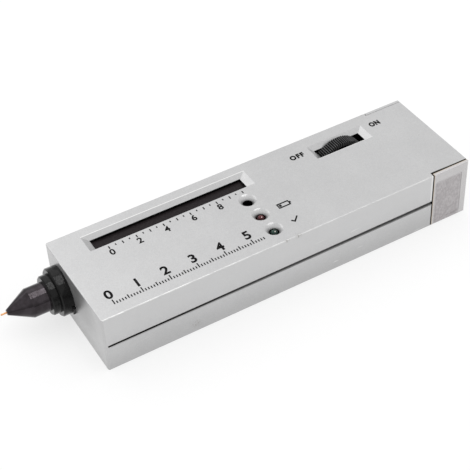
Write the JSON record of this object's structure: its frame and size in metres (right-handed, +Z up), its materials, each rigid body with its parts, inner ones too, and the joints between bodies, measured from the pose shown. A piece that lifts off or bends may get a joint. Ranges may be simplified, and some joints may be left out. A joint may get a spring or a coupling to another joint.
{
  "type": "diamond tester pen",
  "caption": "Hand-held thermal gem tester: flat plastic case with a light-bar window, indicator lamps, a sensitivity thumbwheel, a sprung copper probe and a pull-off battery cap.",
  "frame": {"origin": "middle of the tester's length and width, probe included, on the flat base", "axes": "+X along the length from the probe to the battery cap, +Y toward the window's side, +Z up through the roof"},
  "size_m": [0.1622, 0.0416, 0.0232],
  "materials": {
    "case_silver": "satin silver-grey, fine metallic speckle",
    "cap_silver": "satin silver-grey, slightly warmer than the case",
    "screw_steel": "plated steel",
    "filter_dark": "dark brown-black tinted plastic",
    "light_bar_red": "unlit red diffused plastic",
    "black_matte": "matt black",
    "lamp_red": "unlit red lamp",
    "lamp_green": "unlit green lamp",
    "board_tan": "phenolic board",
    "chip_black": "moulded epoxy",
    "trimmer_blue": "blue moulded plastic",
    "can_blue": "sleeved can",
    "resistor_tan": "lacquered",
    "pot_grey": "moulded case",
    "bright_metal": "bright plated",
    "wheel_black": "black, ridged",
    "battery_jacket": "plain dark jacket",
    "lead_red": "insulated wire",
    "collar_black": "glossy black",
    "nut_black": "black nylon",
    "cone_gunmetal": "dark gunmetal, fine turned",
    "sleeve_ivory": "natural nylon",
    "pin_copper": "bare copper",
    "sensor_white": "ceramic white",
    "spring_steel": "spring wire",
    "lead_yellow": "insulated wire"
  },
  "bodies": {
    "case": {"top_shell": "case_silver", "bottom_shell": "case_silver", "case_screws": "screw_steel", "display_window": "filter_dark", "light_bars": "light_bar_red", "light_carrier": "black_matte", "low_battery_lamp": "lamp_red", "ready_lamp": "lamp_green", "buzzer": "black_matte", "circuit_board": "board_tan", "board_screws": "screw_steel", "board_chips": "chip_black", "trimmers": "trimmer_blue", "capacitors": "can_blue", "resistors": "resistor_tan", "potentiometer": "pot_grey", "battery": "battery_jacket", "battery_terminals": "bright_metal", "battery_snap": "black_matte", "battery_leads": "lead_red", "probe_collar": "collar_black", "collar_nut": "nut_black", "probe_cone": "cone_gunmetal", "probe_holder": "sleeve_ivory", "probe_spring": "spring_steel", "probe_leads": "lead_yellow"},
    "thumbwheel": {"thumbwheel": "wheel_black", "thumbwheel_screw": "screw_steel", "potentiometer_shaft": "bright_metal"},
    "probe_pin": {"probe_tip": "pin_copper", "probe_sensor": "sensor_white"},
    "battery_cap": {"battery_cap": "cap_silver"}
  },
  "joints": [
    {"name": "thumbwheel_turn", "type": "hinge", "parent": "case", "child": "thumbwheel", "pos_m": [0.05, 0.0121, 0.0132], "axis": [0, 1, 0], "range_deg": [0, 280]},
    {"name": "probe_press", "type": "slide", "parent": "case", "child": "probe_pin", "axis": [1, 0, 0], "range_m": [0, 0.0012], "stiffness_N_per_m": 300, "springref_m": -0.0015, "deforming": ["probe_spring"]},
    {"name": "cap_pull", "type": "slide", "parent": "case", "child": "battery_cap", "axis": [1, 0, 0], "range_m": [0, 0.03]}
  ]
}
